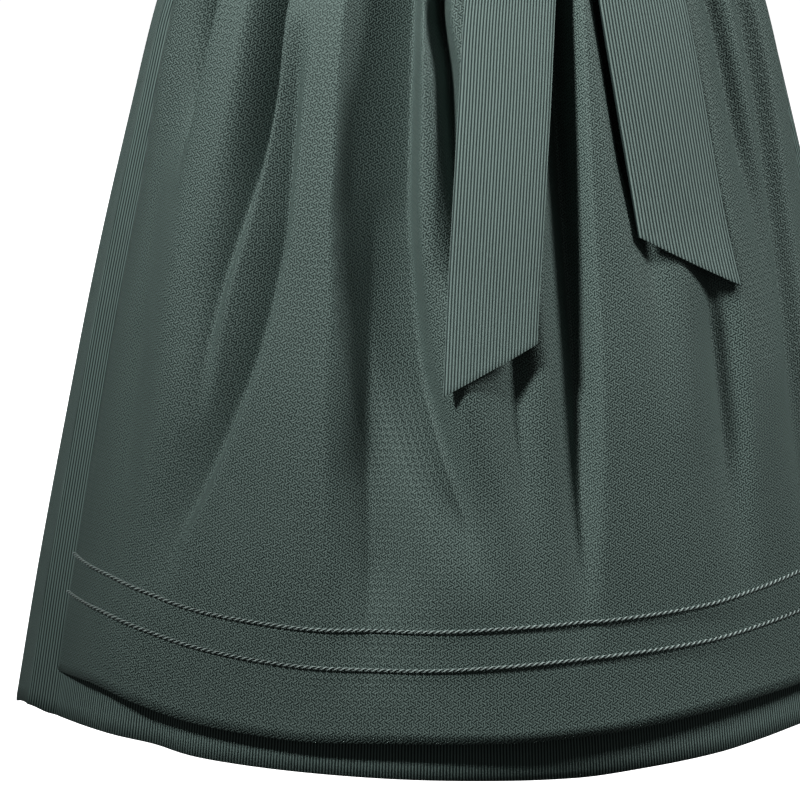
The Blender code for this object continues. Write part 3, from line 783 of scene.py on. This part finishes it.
def twistedCord(name, height, node):
    count = round(cords["length"] / cords["lay"] * cords["stepsPerTurn"])
    turns = [mix(apron["left"], apron["right"], i / count) for i in range(count + 1)]
    path = [apronPoint(turn, height(turn), cords["seat"]) for turn in turns]
    form = bmesh.new()
    places = {}
    for start in (0.0, pi):
        centres, rings = strandPoints(path, start), []
        for i, centre in enumerate(centres):
            ahead = aheadAt(centres, i)
            out = squaredTo(ahead, centre - path[i])
            ring = []
            for k in range(cords["sides"]):
                angle = 2 * pi * k / cords["sides"]
                around = out * cos(angle) + ahead.cross(out) * sin(angle)
                vertex = form.verts.new(centre + around * cords["strand"])
                # how far a point faces out from the cord's middle, from 0 to 1, which the cord's finish turns
                # into painted shade where the strands meet
                places[vertex] = (i * cords["lay"] / cords["stepsPerTurn"], 0.5 + 0.5 * cos(angle))
                ring.append(vertex)
            rings.append(ring)
        joinRings(form, rings)
    mesh = meshFrom(mapped(smoothed(form), places), name)
    return dressPiece(name, mesh, cordYarn, "twisted_cord", node)


apronCords = [
    twistedCord("apronCordLower", lowerCord, "apron_piping_lower"),
    twistedCord("apronCordUpper", upperCord, "apron_piping_upper"),
]
declare(
    ["apron_panel"],
    withPieces=apronCords,
)
print("cords laid")


# Bodice

bodice = {
    # height above the waist, half width, half depth in front and behind, turns of the front and back seams
    "rings": (
        (0.000, 0.1330, 0.1047, 0.1047, 27.0, 160.0),
        (0.050, 0.1335, 0.1060, 0.1030, 28.5, 155.0),
        (0.100, 0.1420, 0.1130, 0.1030, 31.0, 148.0),
        (0.150, 0.1520, 0.1280, 0.1060, 35.0, 141.0),
        (0.200, 0.1600, 0.1400, 0.1090, 38.0, 135.0),
        (0.240, 0.1600, 0.1340, 0.1110, 40.5, 131.0),
        (0.290, 0.1550, 0.1200, 0.1130, 42.0, 128.0),
    ),
    # across a panel from its seam nearer the front, how high the front, side and back panels go
    "topEdge": (
        (0.00, 0.205, 0.262, 0.262),
        (0.25, 0.214, 0.222, 0.279),
        (0.50, 0.246, 0.202, 0.286),
        (0.75, 0.258, 0.216, 0.279),
        (1.00, 0.262, 0.262, 0.262),
    ),
    # columns, rows, flat size and area of each panel's sheet
    "sheets": {
        "front": (34, 70, (0.110, 0.275), 0.0205), "side": (76, 60, (0.290, 0.275), 0.0580),
        "back": (80, 70, (0.240, 0.290), 0.0505),
    },
    "strapFront": (0.48, 1.00), "strapBack": (0.02, 0.28),
    # forward and up
    "shoulder": (
        (0.101, -0.085), (0.078, -0.040), (0.042, -0.009), (0.000, 0.002), (-0.042, -0.009), (-0.074, -0.045),
    ),
    "strapLap": 0.0016, "tuck": 0.997, "shoulderInner": 0.054, "shoulderOuter": 0.100, "shoulderSlope": 0.010,
    "wall": 0.0014, "edge": 0.0005, "seamDip": 0.0007, "dipBreadth": 0.0016, "seamLap": 0.35,
    "pull": 0.0006, "inwards": 0.0001,
}
bodiceWidth, bodiceFront, bodiceBack, frontSeam, backSeam = columnCurves(
    [(waist + row[0], *row[1:]) for row in bodice["rings"]]
)
topEdges = dict(zip(("front", "side", "back"), columnCurves(bodice["topEdge"])))


def bodicePoint(turn, height, out=0.0):
    depth = bodiceFront(height) if cos(radians(turn)) >= 0 else bodiceBack(height)
    return ringPoint(bodiceWidth(height), depth, turn, out, height)


def bodiceTurns(panel, height):
    part = -bodice["seamLap"]
    if panel == "front":
        return part, frontSeam(height) - part
    if panel == "side":
        return frontSeam(height) + part, backSeam(height) - part
    return backSeam(height) + part, 360 - backSeam(height) - part


def bodicePanel(panel, side=1):
    def place(across, up):
        share = across if side > 0 else 1 - across
        height = mix(waist, waist + topEdges[panel](share), up)
        first, last = bodiceTurns(panel, height)
        turn = mix(first, last, share)
        edge = min(share, 1 - share) * radians(last - first) * bodiceWidth(height)
        dip = -bodice["seamDip"] * hump(edge, bodice["dipBreadth"])
        pull = bodice["pull"] * wander(turn * 0.12, height * 30, 5.5) * smoothStep((height - waist) / 0.06)
        return bodicePoint(side * turn, height, dip + pull - bodice["inwards"])

    return place


def alongCurve(points, share):
    place = share * (len(points) - 1)
    i = min(int(place), len(points) - 2)
    t = place - i
    before = points[i - 1] if i else 2 * points[0] - points[1]
    after = points[i + 2] if i + 2 < len(points) else 2 * points[-1] - points[-2]
    start, end = points[i], points[i + 1]
    return 0.5 * (
        2 * start + (end - before) * t + (2 * before - 5 * start + 4 * end - after) * t**2
        + (3 * start - before - 3 * end + after) * t**3
    )


def tuckedIn(point):
    # the strap's end lies just behind the bodice's edge
    return Vector((point.x * bodice["tuck"], point.y * bodice["tuck"], point.z - bodice["strapLap"]))


def strapPlace(side):
    front, back = bodicePanel("front"), bodicePanel("back")

    def place(across, along):
        share = across if side > 0 else 1 - across
        points = [tuckedIn(front(mix(*bodice["strapFront"], share), 1.0))]
        for forward, up in bodice["shoulder"]:
            sideways = mix(bodice["shoulderInner"], bodice["shoulderOuter"], share)
            points.append(Vector((sideways, -forward, up - bodice["shoulderSlope"] * (share - 0.5))))
        points.append(tuckedIn(back(mix(*bodice["strapBack"][::-1], share), 1.0)))
        point = alongCurve(points, along)
        return Vector((side * point.x, point.y, point.z))

    return place


def sewBodicePanel(panel, side=1, word=""):
    columns, rows, flat, area = bodice["sheets"][panel]
    made = clothSheet(
        f"bodice{panel.capitalize()}{word.capitalize()}", bodicePanel(panel, side), columns, rows,
        (stripeWithPaintedShade, bodiceLining), bodice["wall"], bodice["edge"],
    )
    node = f"bodice_{panel}_{word}" if word else f"bodice_{panel}"
    declare([node])


for side, word in ((-1, "left"), (1, "right")):
    end = word.capitalize()
    sewBodicePanel("front", side, word)
    sewBodicePanel("side", side, word)
    strap = clothSheet(
        f"strap{end}", strapPlace(side), 20, 90, (stripeWithPaintedShade, bodiceLining), bodice["wall"], bodice["edge"]
    )
    declare([f"strap_{word}"])
    sewRows(f"strapStitches{end}", strapPlace(side), rowsDown(0.07, 0.004))
    onFront, onSide = (0.965, 0.015) if side > 0 else (0.035, 0.985)  # either side of the seam
    sewRows(
        f"frontStitches{end}", bodicePanel("front", side),
        [((onFront, 0.02), (onFront, 0.975)), ((0.03, 0.985), (0.97, 0.985))],
    )
    sewRows(
        f"sideStitches{end}", bodicePanel("side", side),
        [((onSide, 0.02), (onSide, 0.975)), ((0.02, 0.98), (0.98, 0.98))],
    )
sewBodicePanel("back")
sewRows("backStitches", bodicePanel("back"), [((0.02, 0.985), (0.98, 0.985))])
print("bodice sewn")


# Waistband, sash and bow

sash = {
    "foot": waist, "head": waist + 0.045, "bandOut": 0.0034, "bandTurn": 74.0, "ease": 14.0,
    "knotTurn": 23.0, "knotHeight": waist + 0.0225, "knotBoxiness": 3.0, "knotSize": (0.036, 0.024, 0.041),
    "knotPleats": 0.0135, "knotDent": 0.055, "knotPinch": 0.10, "knotGirth": 0.018,
    "loopLean": 0.35, "loopEdge": 0.008, "loopRadius": 0.155,
    # along the loop: reach from the knot, stand from the body, half width and rise
    "loop": (
        (0.00, 0.0195, 0.003, 0.0130, 0.000), (0.14, 0.0420, 0.003, 0.0270, 0.003),
        (0.30, 0.0800, 0.003, 0.0340, 0.007), (0.44, 0.1120, 0.005, 0.0345, 0.008),
        (0.50, 0.1200, 0.012, 0.0345, 0.008), (0.56, 0.1120, 0.020, 0.0345, 0.008),
        (0.70, 0.0800, 0.026, 0.0340, 0.007), (0.86, 0.0420, 0.020, 0.0270, 0.003),
        (1.00, 0.0195, 0.010, 0.0130, 0.000),
    ),
    # height: where the left and the right edge are, to the right of the centre front
    "leftTail": (
        (0.278, -0.0552, 0.0100), (0.342, -0.0506, 0.0154), (0.412, -0.0447, 0.0218),
        (0.482, -0.0383, 0.0288), (0.552, -0.0312, 0.0357), (0.600, -0.0200, 0.0410),
        (0.645, 0.0080, 0.0470), (0.692, 0.0400, 0.0555),
    ),
    "rightTail": (
        (0.342, 0.0990, 0.1737), (0.402, 0.0905, 0.1630), (0.482, 0.0781, 0.1495), (0.546, 0.0685, 0.1379),
        (0.600, 0.0630, 0.1230), (0.645, 0.0595, 0.0980), (0.692, 0.0568, 0.0720),
    ),
    "leftEnds": (0.278, 0.314), "rightEnds": (0.384, 0.342),
    # the wrap's creases: middle, swing and share of the depth
    "creases": ((0.24, 0.07, 1.0), (0.50, 0.09, 0.8), (0.77, 0.06, 1.0)),
    "crush": 0.0014, "creaseBreadth": 0.06, "edgeRoll": 0.0008,
    "loopStand": 0.003, "loopPleats": 0.0024, "pleatReach": 0.40, "loopSoft": 0.0010,
    "tailPleats": 0.0010, "tailBend": 0.0016, "tailTwist": 0.0012, "tailCurl": 0.0006,
    "tailStand": 0.0025, "tailSwing": 0.0045, "tailRise": 0.009, "riseFoot": 0.655, "tailGap": 0.0006,
    "wall": 0.0018, "edge": 0.0007, "width": 0.070, "bandWall": 0.0016, "bandEdge": 0.0005,
}
sashOut = sash["bandOut"] + body["layerGap"] + body["cadCloth"]
sashOutBack = 2.2 * body["layerGap"] + body["cadCloth"]
tailHead = sash["knotHeight"] - sash["knotSize"][2] / 2 - sash["tailGap"]


def waistRing(turn, height, out):
    halfWidth, depth = bodice["rings"][0][1:3]
    return ringPoint(halfWidth, depth, turn, out, height)


def bandPlace(across, up):
    height = mix(sash["foot"], sash["head"], up)
    return bodicePoint(mix(-sash["bandTurn"], sash["bandTurn"], across), height, sash["bandOut"])


def wrapPlace(across, up):
    turn = 360 * across
    pastBand = abs((turn + 180) % 360 - 180) - sash["bandTurn"]
    out = mix(sashOut, sashOutBack, smoothStep((pastBand - 2) / sash["ease"]))
    crush = 0.0
    for crease, (middle, swing, deep) in enumerate(sash["creases"]):
        angle = radians(turn)
        line = middle + swing * sin((crease + 2) * angle + crease * 2.1)
        deep *= sash["crush"] * (0.6 + 0.4 * sin(5 * angle + 2 * crease))
        crush -= deep * hump(up - line, sash["creaseBreadth"])
    roll = -sash["edgeRoll"] * (hump(up, 0.07) + hump(1 - up, 0.07))
    return bodicePoint(turn, mix(sash["foot"], sash["head"], up), out + crush + roll)


def loopPlace(side):
    reachAt, standAt, halfAt, riseAt = columnCurves(sash["loop"])

    def place(across, up):
        along = across if side < 0 else 1 - across
        half = halfAt(along)
        height = sash["knotHeight"] + riseAt(along) + mix(-half, half, up)
        below = sash["knotHeight"] - height
        lean = sash["loopLean"] * (below + hypot(below, sash["loopEdge"])) / 2
        nearKnot = smoothStep(1 - abs(0.5 - abs(along - 0.5)) / sash["pleatReach"])
        outside = 1 if along > 0.5 else -1
        lines = up * 3.4 + 0.1 * side + 0.35 * wander(up * 3, along * 2, 1.7 + side)
        pleats = sash["loopPleats"] * cos(2 * pi * lines) * nearKnot * outside
        soft = sash["loopSoft"] * wander(along * 5, up * 2 + side, 2.2) * smoothStep((along - 0.5) / 0.1)
        out = sashOut + sash["loopStand"] + lean + standAt(along) + pleats + soft
        turn = sash["knotTurn"] + side * degrees(reachAt(along) / sash["loopRadius"])
        return waistRing(turn, height, out)

    return place


def tailPlace(table, ends, seed):
    leftEdge, rightEdge = columnCurves(table)

    def place(across, up):
        height = mix(mix(*ends, across), tailHead, towardsWaist(up))
        sideways = mix(leftEdge(height), rightEdge(height), across)
        halfWidth = skirtWidth(height)
        turn = 0.0
        for _ in range(6):
            out = apronStand(turn, height, folded=False) + sash["tailStand"] + body["cadCloth"]
            # the tail lies on the apron's ridges, and clears the steep ones near the waist
            onRidges = mix(0.82, 1.10, smoothStep((height - 0.55) / 0.05))
            onRidges *= smoothStep((0.69 - height) / 0.08)
            out += apronLift(height) * (apron["fullness"] - 1) * (1 - apron["sunk"]) * onRidges
            turn = degrees(asin(abs(sideways / (halfWidth + out)) ** (1 / body["roundness"])))
            turn = copysign(turn, sideways)
        rise = sash["tailRise"] * smoothStep((height - sash["riseFoot"]) / (tailHead - sash["riseFoot"]))
        pleats = sash["tailPleats"] * cos(2 * pi * across * 3) * smoothStep((height - 0.60) / 0.08)
        bend = sash["tailBend"] * sin(height * 19 + seed)
        bend += sash["tailTwist"] * wander(across * 1.4, height * 9, seed)
        curl = -sash["tailCurl"] * (hump(across, 0.03) + hump(1 - across, 0.03))
        swing = sash["tailSwing"] * smoothStep((ends[1] + 0.05 - height) / 0.12)
        return skirtPoint(turn, height, out + rise + pleats + bend + curl + swing)

    return place


def tieKnot():
    form = bmesh.new()
    bmesh.ops.create_uvsphere(form, u_segments=72, v_segments=48, radius=0.5)
    out = sashOut + 2 * body["layerGap"] + sash["knotSize"][1] / 2
    centre = waistRing(sash["knotTurn"], sash["knotHeight"], out)
    inside = waistRing(sash["knotTurn"], sash["knotHeight"], 0)
    facing = atan2(centre.y - inside.y, centre.x - inside.x) + pi / 2
    places = {}
    for vertex in form.verts:
        corner = vertex.co * 2
        boxy = sum(abs(part) ** sash["knotBoxiness"] for part in corner) ** (1 / sash["knotBoxiness"])
        spot = Vector([size * part / boxy for size, part in zip(sash["knotSize"], vertex.co)])
        pleat = cos(2 * pi * (spot.x / sash["knotPleats"] + 0.35 * sin(spot.z * 60)))
        dent = sash["knotDent"] * (1 - pleat) * smoothStep(-corner.y * 1.5)
        pinch = sash["knotPinch"] * hump(spot.z, 0.012) * abs(corner.x)
        spot = Vector((spot.x * (1 - pinch), spot.y * (1 - dent), spot.z))
        places[vertex] = (spot.x, atan2(spot.z, -spot.y) * sash["knotGirth"])
        vertex.co = spot
    bmesh.ops.transform(
        form, verts=form.verts, matrix=Matrix.Translation(centre) @ Matrix.Rotation(facing, 4, "Z")
    )
    return dressPiece(
        "bowKnot", meshFrom(mapped(form, places), "bowKnot"), sashStripe, "sash_cloth", "bow_knot"
    )


waistband = clothSheet(
    "apronWaistband", bandPlace, 150, 10, (apronJacquard,), sash["bandWall"], sash["bandEdge"]
)
declare(["apron_waistband"])

ribbon = {"finishes": (sashStripe,), "wall": sash["wall"], "edge": sash["edge"]}
wrap = clothSheet("sashWrap", wrapPlace, 300, 28, joined=True, turned=True, **ribbon)
hanging = []
for side, word in ((-1, "left"), (1, "right")):
    loop = clothSheet(f"bowLoop{word.capitalize()}", loopPlace(side), 110, 30, turned=True, **ribbon)
    hanging.append((loop, f"bow_loop_{word}", 0.225, ["bow_knot"]))
for word, seed, length in (("left", 0.4, 0.46), ("right", 2.6, 0.38)):
    place = tailPlace(sash[word + "Tail"], sash[word + "Ends"], seed)
    tail = clothSheet(f"sashTail{word.capitalize()}", place, 36, 130, flatWidth=sash["width"], **ribbon)
    hanging.append((tail, f"sash_tail_{word}", length, ["bow_knot", "apron_panel"]))
declare(
    ["sash_wrap"],
    withPieces=[tieKnot()],
)
for made, node, length, restsOn in hanging:
    declare([node])
print("sash tied")


# Front fastening

fastening = {
    "half": 0.011, "foot": waist + 0.046, "head": waist + 0.204, "wall": 0.0012, "edge": 0.0004, "buttons": 5,
    "radius": 0.0060, "thickness": 0.0028, "margin": 0.012,
    # shares of the radius and of half the thickness, from the middle of the back round to the dish
    "profile": (
        (0.00, -1.00), (0.80, -1.00), (0.95, -0.60), (1.00, 0.00), (0.97, 0.60), (0.88, 1.00),
        (0.76, 0.92), (0.66, 0.45), (0.50, 0.32), (0.00, 0.28),
    ),
    "hole": 0.00075, "holeOut": 0.00145, "drill": 0.01,
    # along a bar of thread: shares of the way out to a hole, and of half the thickness
    "bar": ((-1.0, -0.90), (-0.95, 0.42), (-0.6, 0.62), (0.6, 0.62), (0.95, 0.42), (1.0, -0.90)),
    "thread": 0.0002, "threadApart": 0.00022,
}


def buttonBandPlace(across, up):
    sideways = mix(-fastening["half"], fastening["half"], across)
    height = mix(fastening["foot"], fastening["head"], up)
    turn = degrees(asin(sideways / bodiceWidth(height)))
    return bodicePoint(turn, height, body["layerGap"] + body["cadCloth"])


buttonBand = clothSheet(
    "buttonBand", buttonBandPlace, 16, 90, (stripeWithPaintedShade,), fastening["wall"], fastening["edge"]
)
sewRows("bandStitches", buttonBandPlace, rowsDown(0.09, 0.012))


def turnedButton():
    # a dished disc with a rounded rim, and four holes
    half = fastening["thickness"] / 2
    form = bmesh.new()
    ring = [form.verts.new((x * fastening["radius"], 0, z * half)) for x, z in fastening["profile"]]
    edges = [form.edges.new(pair) for pair in zip(ring, ring[1:])]
    bmesh.ops.spin(
        form, geom=ring + edges, cent=(0, 0, 0), axis=(0, 0, 1), angle=2 * pi, steps=48, use_merge=True
    )
    bmesh.ops.remove_doubles(form, verts=form.verts, dist=1e-6)
    bmesh.ops.recalc_face_normals(form, faces=form.faces)
    disc = shownPiece("buttonBlank", meshFrom(form, "buttonBlank"))
    drills = bmesh.new()
    for x, y in ((-1, -1), (-1, 1), (1, -1), (1, 1)):
        bmesh.ops.create_cone(
            drills, cap_ends=True, segments=16, radius1=fastening["hole"], radius2=fastening["hole"],
            depth=fastening["drill"], matrix=Matrix.Translation(Vector((x, y, 0)) * fastening["holeOut"]),
        )
    cutter = shownPiece("buttonDrills", meshFrom(drills, "buttonDrills"))
    cut = disc.modifiers.new("holes", "BOOLEAN")
    cut.object, cut.operation = cutter, "DIFFERENCE"
    bpy.context.view_layer.update()
    made = bpy.data.meshes.new_from_object(disc.evaluated_get(bpy.context.evaluated_depsgraph_get()))
    for helper in (disc, cutter):
        bpy.data.objects.remove(helper)
    made.shade_smooth()
    made.set_sharp_from_angle(angle=radians(50))
    return made


def holeThread():
    # two bars of doubled thread, each down into a pair of holes
    form = bmesh.new()
    half, thick = fastening["thickness"] / 2, fastening["thread"]
    for side, strand in ((-1, -1), (-1, 1), (1, -1), (1, 1)):
        middle = side * fastening["holeOut"] + strand * fastening["threadApart"]
        across = Vector((thick, 0, 0))
        rings = []
        for y, z in fastening["bar"]:
            centre = Vector((middle, y * fastening["holeOut"], z * half))
            upper = Vector((0, copysign(thick, y), 0) if abs(y) > 0.9 else (0, 0, thick))
            rings.append([form.verts.new(centre + part) for part in (across, upper, -across, -upper)])
        joinRings(form, rings)
    return meshFrom(smoothed(form), "buttonThread")


hornButton, seamThread = (turnedButton(), buttonHorn), (holeThread(), sewingThread)
buttons = []
for i in range(fastening["buttons"]):
    share = i / (fastening["buttons"] - 1)
    height = mix(fastening["foot"] + fastening["margin"], fastening["head"] - fastening["margin"], share)
    slope = bodicePoint(0, height + fastening["radius"]) - bodicePoint(0, height - fastening["radius"])
    outward = Vector((1, 0, 0)).cross(slope).normalized()
    seat = bodicePoint(0, height, body["layerGap"] + body["cadCloth"])
    centre = seat + outward * (body["layerGap"] + fastening["thickness"] / 2)
    for word, blank, finish in (("button", *hornButton), ("buttonThread", *seamThread)):
        mesh = blank.copy()
        mesh.transform(Matrix.Translation(centre) @ outward.to_track_quat("Z", "X").to_matrix().to_4x4())
        mesh.materials.clear()
        replaced = [f"button_{i + 1}"] if word == "button" else []
        buttons.append(dressPiece(f"{word}{i + 1}", mesh, finish, "button", *replaced))
declare(
    ["button_band"],
    withPieces=buttons,
)
print("buttons sewn on")


# Floor


def layFloor():
    form = bmesh.new()
    bmesh.ops.create_grid(form, x_segments=1, y_segments=1, size=studio["floorSize"] / 2)
    bmesh.ops.translate(form, verts=form.verts, vec=(0, 0, studio["floorHeight"]))
    look = Look(
        "paleFloor", Roughness=0.9, Specular_IOR_Level=0.1, Emission_Color=(1, 1, 1, 1),
        Emission_Strength=studio["floorGlow"],
    )
    look.paint(look.speckle(look.solidPlace(), (0.6, 0.6, 0.6)) * 0.3, *studio["floorColours"])
    made = shownPiece("studioFloor", meshFrom(form, "studioFloor"), look.material)
    made.visible_diffuse = made.visible_glossy = False  # its glow whitens the floor, not the dress


layFloor()
print("floor laid")
